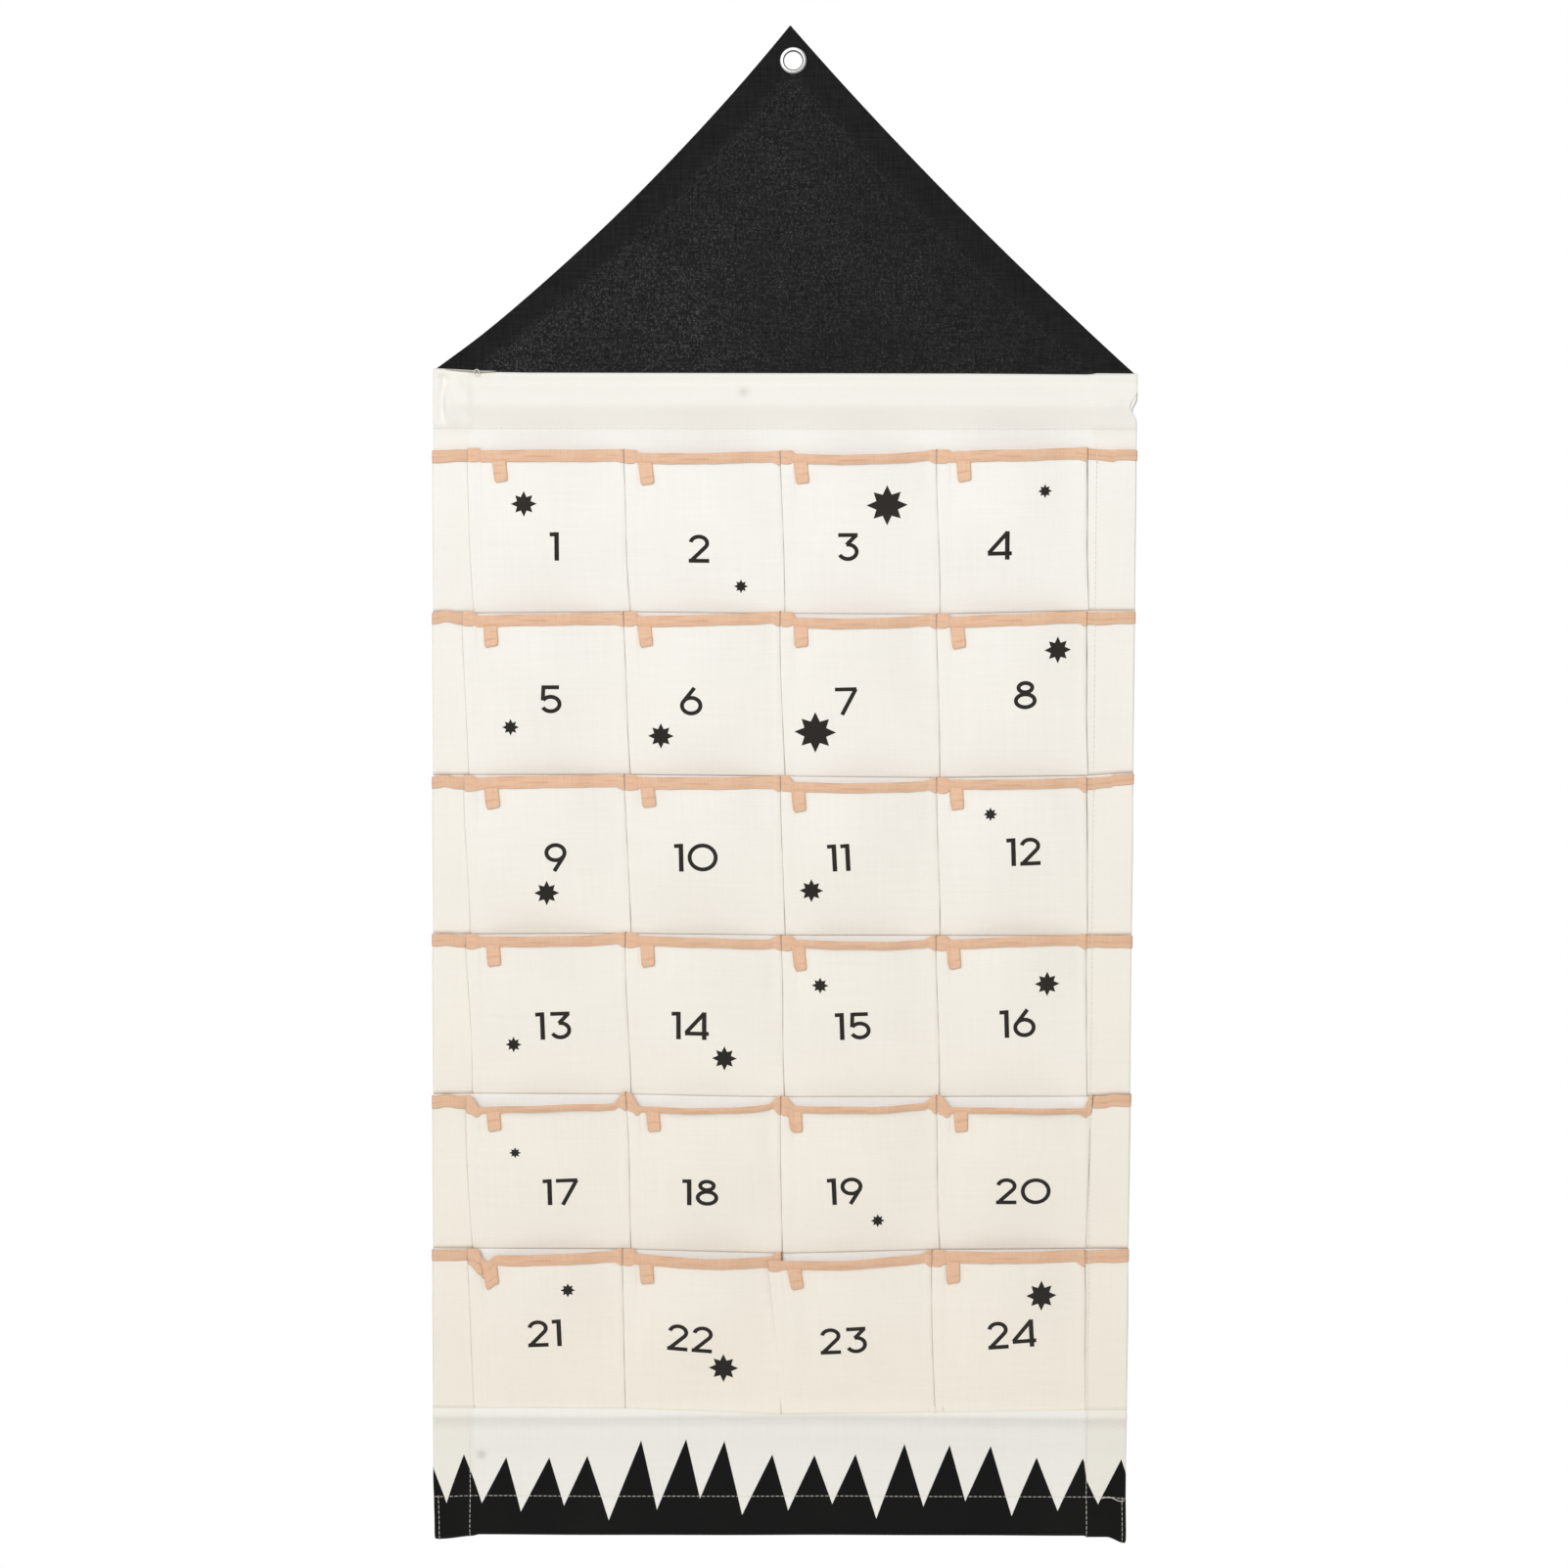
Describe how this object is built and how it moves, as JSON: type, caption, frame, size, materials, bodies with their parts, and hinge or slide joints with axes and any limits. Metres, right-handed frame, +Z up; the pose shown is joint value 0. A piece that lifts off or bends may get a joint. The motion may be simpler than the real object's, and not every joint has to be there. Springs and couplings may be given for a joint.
{
  "type": "fabric pocket wall hanging",
  "caption": "Cloth wall hanging with rows of pleated pockets, a tape-bound mouth and tab on each, under a gable with an eyelet, and a rod in a casing at top and bottom.",
  "frame": {"origin": "middle of the eyelet that the hanging is hung by, in the gable cloth's middle plane", "axes": "+Z up the hanging, -Y out of its front, +X to a viewer's right; the wall is at +Y"},
  "size_m": [0.45, 0.0187, 0.971],
  "materials": {
    "black_canvas": "heathered canvas, matt",
    "cream_canvas": "plain-woven canvas, matt",
    "binding_tape": "twill tape, matt",
    "eyelet_metal": "plated, satin",
    "rod_wood": "bare dowel"
  },
  "bodies": {
    "gable": {"gable_panel": "black_canvas", "eyelet_grommet": "eyelet_metal", "eyelet_washer": "eyelet_metal"},
    "panel": {"backing_panel": "cream_canvas", "pocket_strip_1": "cream_canvas", "pocket_strip_2": "cream_canvas", "pocket_strip_3": "cream_canvas", "pocket_strip_4": "cream_canvas", "pocket_strip_5": "cream_canvas", "pocket_strip_6": "cream_canvas"},
    "top_rod": {"top_rod": "rod_wood"},
    "bottom_rod": {"bottom_rod": "rod_wood"},
    "pocket_01": {"pocket_front_01": "cream_canvas", "binding_tape_01": "binding_tape"},
    "pocket_02": {"pocket_front_02": "cream_canvas", "binding_tape_02": "binding_tape"},
    "pocket_03": {"pocket_front_03": "cream_canvas", "binding_tape_03": "binding_tape"},
    "pocket_04": {"pocket_front_04": "cream_canvas", "binding_tape_04": "binding_tape"},
    "pocket_05": {"pocket_front_05": "cream_canvas", "binding_tape_05": "binding_tape"},
    "pocket_06": {"pocket_front_06": "cream_canvas", "binding_tape_06": "binding_tape"},
    "pocket_07": {"pocket_front_07": "cream_canvas", "binding_tape_07": "binding_tape"},
    "pocket_08": {"pocket_front_08": "cream_canvas", "binding_tape_08": "binding_tape"},
    "pocket_09": {"pocket_front_09": "cream_canvas", "binding_tape_09": "binding_tape"},
    "pocket_10": {"pocket_front_10": "cream_canvas", "binding_tape_10": "binding_tape"},
    "pocket_11": {"pocket_front_11": "cream_canvas", "binding_tape_11": "binding_tape"},
    "pocket_12": {"pocket_front_12": "cream_canvas", "binding_tape_12": "binding_tape"},
    "pocket_13": {"pocket_front_13": "cream_canvas", "binding_tape_13": "binding_tape"},
    "pocket_14": {"pocket_front_14": "cream_canvas", "binding_tape_14": "binding_tape"},
    "pocket_15": {"pocket_front_15": "cream_canvas", "binding_tape_15": "binding_tape"},
    "pocket_16": {"pocket_front_16": "cream_canvas", "binding_tape_16": "binding_tape"},
    "pocket_17": {"pocket_front_17": "cream_canvas", "binding_tape_17": "binding_tape"},
    "pocket_18": {"pocket_front_18": "cream_canvas", "binding_tape_18": "binding_tape"},
    "pocket_19": {"pocket_front_19": "cream_canvas", "binding_tape_19": "binding_tape"},
    "pocket_20": {"pocket_front_20": "cream_canvas", "binding_tape_20": "binding_tape"},
    "pocket_21": {"pocket_front_21": "cream_canvas", "binding_tape_21": "binding_tape"},
    "pocket_22": {"pocket_front_22": "cream_canvas", "binding_tape_22": "binding_tape"},
    "pocket_23": {"pocket_front_23": "cream_canvas", "binding_tape_23": "binding_tape"},
    "pocket_24": {"pocket_front_24": "cream_canvas", "binding_tape_24": "binding_tape"}
  },
  "joints": [
    {"name": "gable_fold", "type": "hinge", "parent": "gable", "child": "panel", "pos_m": [-0.0047, 0, -0.1975], "axis": [1, 0, 0], "range_deg": [-140, 140]},
    {"name": "top_rod_slide", "type": "slide", "parent": "panel", "child": "top_rod", "axis": [1, 0, 0], "range_m": [0, 0.41]},
    {"name": "bottom_rod_shift", "type": "slide", "parent": "panel", "child": "bottom_rod", "axis": [1, 0, 0], "range_m": [-0.019, 0.002]},
    {"name": "pocket_01_open", "type": "hinge", "parent": "panel", "child": "pocket_01", "pos_m": [-0.1577, -0.0018, -0.3495], "axis": [1, 0, 0], "range_deg": [0, 8], "stiffness_Nm_per_rad": 0.006, "springref_deg": -5.73},
    {"name": "pocket_02_open", "type": "hinge", "parent": "panel", "child": "pocket_02", "pos_m": [-0.0577, -0.0018, -0.3495], "axis": [1, 0, 0], "range_deg": [0, 8], "stiffness_Nm_per_rad": 0.006, "springref_deg": -5.73},
    {"name": "pocket_03_open", "type": "hinge", "parent": "panel", "child": "pocket_03", "pos_m": [0.0423, -0.0018, -0.3495], "axis": [1, 0, 0], "range_deg": [0, 8], "stiffness_Nm_per_rad": 0.006, "springref_deg": -5.73},
    {"name": "pocket_04_open", "type": "hinge", "parent": "panel", "child": "pocket_04", "pos_m": [0.1403, -0.0018, -0.3495], "axis": [1, 0, 0], "range_deg": [0, 8], "stiffness_Nm_per_rad": 0.006, "springref_deg": -5.73},
    {"name": "pocket_05_open", "type": "hinge", "parent": "panel", "child": "pocket_05", "pos_m": [-0.1577, -0.0018, -0.4525], "axis": [1, 0, 0], "range_deg": [0, 8], "stiffness_Nm_per_rad": 0.006, "springref_deg": -5.73},
    {"name": "pocket_06_open", "type": "hinge", "parent": "panel", "child": "pocket_06", "pos_m": [-0.0577, -0.0018, -0.4525], "axis": [1, 0, 0], "range_deg": [0, 8], "stiffness_Nm_per_rad": 0.006, "springref_deg": -5.73},
    {"name": "pocket_07_open", "type": "hinge", "parent": "panel", "child": "pocket_07", "pos_m": [0.0423, -0.0018, -0.4525], "axis": [1, 0, 0], "range_deg": [0, 8], "stiffness_Nm_per_rad": 0.006, "springref_deg": -5.73},
    {"name": "pocket_08_open", "type": "hinge", "parent": "panel", "child": "pocket_08", "pos_m": [0.1403, -0.0018, -0.4525], "axis": [1, 0, 0], "range_deg": [0, 8], "stiffness_Nm_per_rad": 0.006, "springref_deg": -5.73},
    {"name": "pocket_09_open", "type": "hinge", "parent": "panel", "child": "pocket_09", "pos_m": [-0.1577, -0.0018, -0.5555], "axis": [1, 0, 0], "range_deg": [0, 8], "stiffness_Nm_per_rad": 0.006, "springref_deg": -5.73},
    {"name": "pocket_10_open", "type": "hinge", "parent": "panel", "child": "pocket_10", "pos_m": [-0.0577, -0.0018, -0.5555], "axis": [1, 0, 0], "range_deg": [0, 8], "stiffness_Nm_per_rad": 0.006, "springref_deg": -5.73},
    {"name": "pocket_11_open", "type": "hinge", "parent": "panel", "child": "pocket_11", "pos_m": [0.0423, -0.0018, -0.5555], "axis": [1, 0, 0], "range_deg": [0, 8], "stiffness_Nm_per_rad": 0.006, "springref_deg": -5.73},
    {"name": "pocket_12_open", "type": "hinge", "parent": "panel", "child": "pocket_12", "pos_m": [0.1403, -0.0018, -0.5555], "axis": [1, 0, 0], "range_deg": [0, 8], "stiffness_Nm_per_rad": 0.006, "springref_deg": -5.73},
    {"name": "pocket_13_open", "type": "hinge", "parent": "panel", "child": "pocket_13", "pos_m": [-0.1577, -0.0018, -0.6585], "axis": [1, 0, 0], "range_deg": [0, 8], "stiffness_Nm_per_rad": 0.006, "springref_deg": -5.73},
    {"name": "pocket_14_open", "type": "hinge", "parent": "panel", "child": "pocket_14", "pos_m": [-0.0577, -0.0018, -0.6585], "axis": [1, 0, 0], "range_deg": [0, 8], "stiffness_Nm_per_rad": 0.006, "springref_deg": -5.73},
    {"name": "pocket_15_open", "type": "hinge", "parent": "panel", "child": "pocket_15", "pos_m": [0.0423, -0.0018, -0.6585], "axis": [1, 0, 0], "range_deg": [0, 8], "stiffness_Nm_per_rad": 0.006, "springref_deg": -5.73},
    {"name": "pocket_16_open", "type": "hinge", "parent": "panel", "child": "pocket_16", "pos_m": [0.1403, -0.0018, -0.6585], "axis": [1, 0, 0], "range_deg": [0, 8], "stiffness_Nm_per_rad": 0.006, "springref_deg": -5.73},
    {"name": "pocket_17_open", "type": "hinge", "parent": "panel", "child": "pocket_17", "pos_m": [-0.1577, -0.0018, -0.7615], "axis": [1, 0, 0], "range_deg": [0, 8], "stiffness_Nm_per_rad": 0.006, "springref_deg": -5.73},
    {"name": "pocket_18_open", "type": "hinge", "parent": "panel", "child": "pocket_18", "pos_m": [-0.0577, -0.0018, -0.7615], "axis": [1, 0, 0], "range_deg": [0, 8], "stiffness_Nm_per_rad": 0.006, "springref_deg": -5.73},
    {"name": "pocket_19_open", "type": "hinge", "parent": "panel", "child": "pocket_19", "pos_m": [0.0423, -0.0018, -0.7615], "axis": [1, 0, 0], "range_deg": [0, 8], "stiffness_Nm_per_rad": 0.006, "springref_deg": -5.73},
    {"name": "pocket_20_open", "type": "hinge", "parent": "panel", "child": "pocket_20", "pos_m": [0.1403, -0.0018, -0.7615], "axis": [1, 0, 0], "range_deg": [0, 8], "stiffness_Nm_per_rad": 0.006, "springref_deg": -5.73},
    {"name": "pocket_21_open", "type": "hinge", "parent": "panel", "child": "pocket_21", "pos_m": [-0.1577, -0.0018, -0.8645], "axis": [1, 0, 0], "range_deg": [0, 8], "stiffness_Nm_per_rad": 0.006, "springref_deg": -5.73},
    {"name": "pocket_22_open", "type": "hinge", "parent": "panel", "child": "pocket_22", "pos_m": [-0.0577, -0.0018, -0.8645], "axis": [1, 0, 0], "range_deg": [0, 8], "stiffness_Nm_per_rad": 0.006, "springref_deg": -5.73},
    {"name": "pocket_23_open", "type": "hinge", "parent": "panel", "child": "pocket_23", "pos_m": [0.0423, -0.0018, -0.8645], "axis": [1, 0, 0], "range_deg": [0, 8], "stiffness_Nm_per_rad": 0.006, "springref_deg": -5.73},
    {"name": "pocket_24_open", "type": "hinge", "parent": "panel", "child": "pocket_24", "pos_m": [0.1403, -0.0018, -0.8645], "axis": [1, 0, 0], "range_deg": [0, 8], "stiffness_Nm_per_rad": 0.006, "springref_deg": -5.73}
  ]
}
